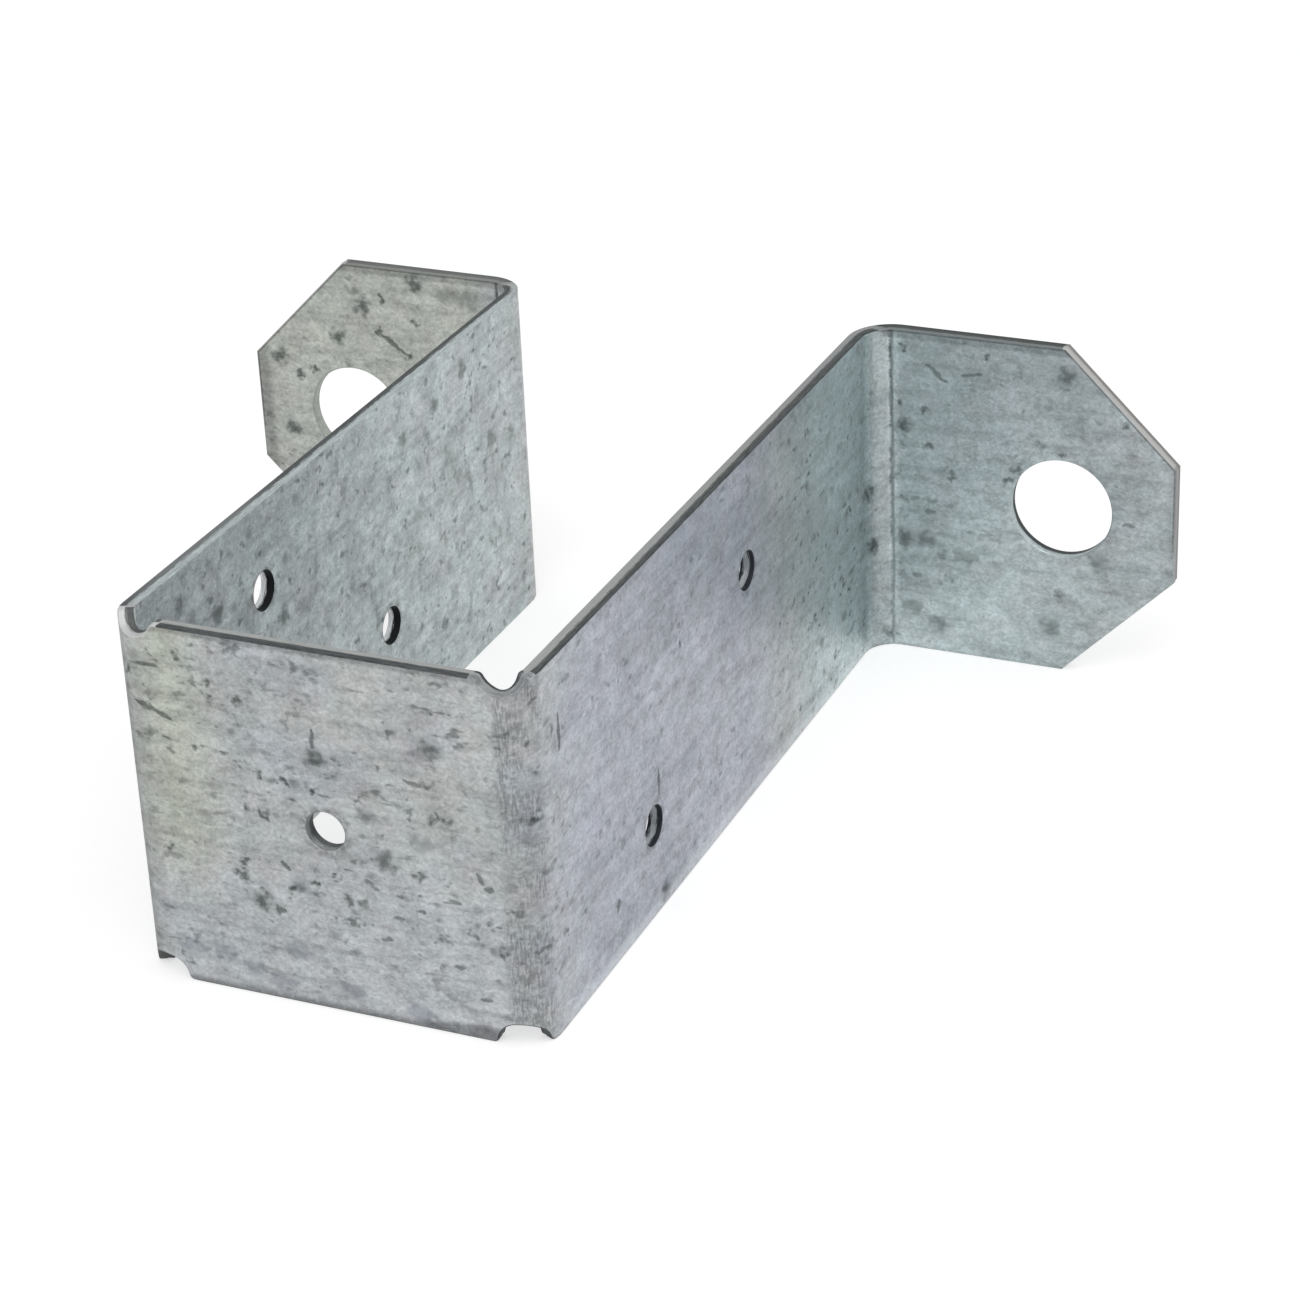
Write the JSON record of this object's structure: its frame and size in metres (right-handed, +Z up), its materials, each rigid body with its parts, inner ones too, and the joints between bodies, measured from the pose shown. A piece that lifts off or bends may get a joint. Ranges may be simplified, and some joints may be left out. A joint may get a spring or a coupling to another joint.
{
  "type": "deck post tie",
  "caption": "Folded steel strap that wraps round a post and bolts to the rim of a deck, with nail holes in its web and staggered along its legs, and outward ears with cut corners.",
  "frame": {"origin": "bottom of the strap, in the middle of its width and of its depth", "axes": "+X along the web, +Y from the web back to the ears, +Z up the height of the strap"},
  "size_m": [0.1112, 0.0904, 0.0381],
  "materials": {
    "galvanised_steel": "matt hot-dip zinc, mottled, with dark specks"
  },
  "bodies": {
    "root": {"strap": "galvanised_steel"}
  },
  "joints": []
}
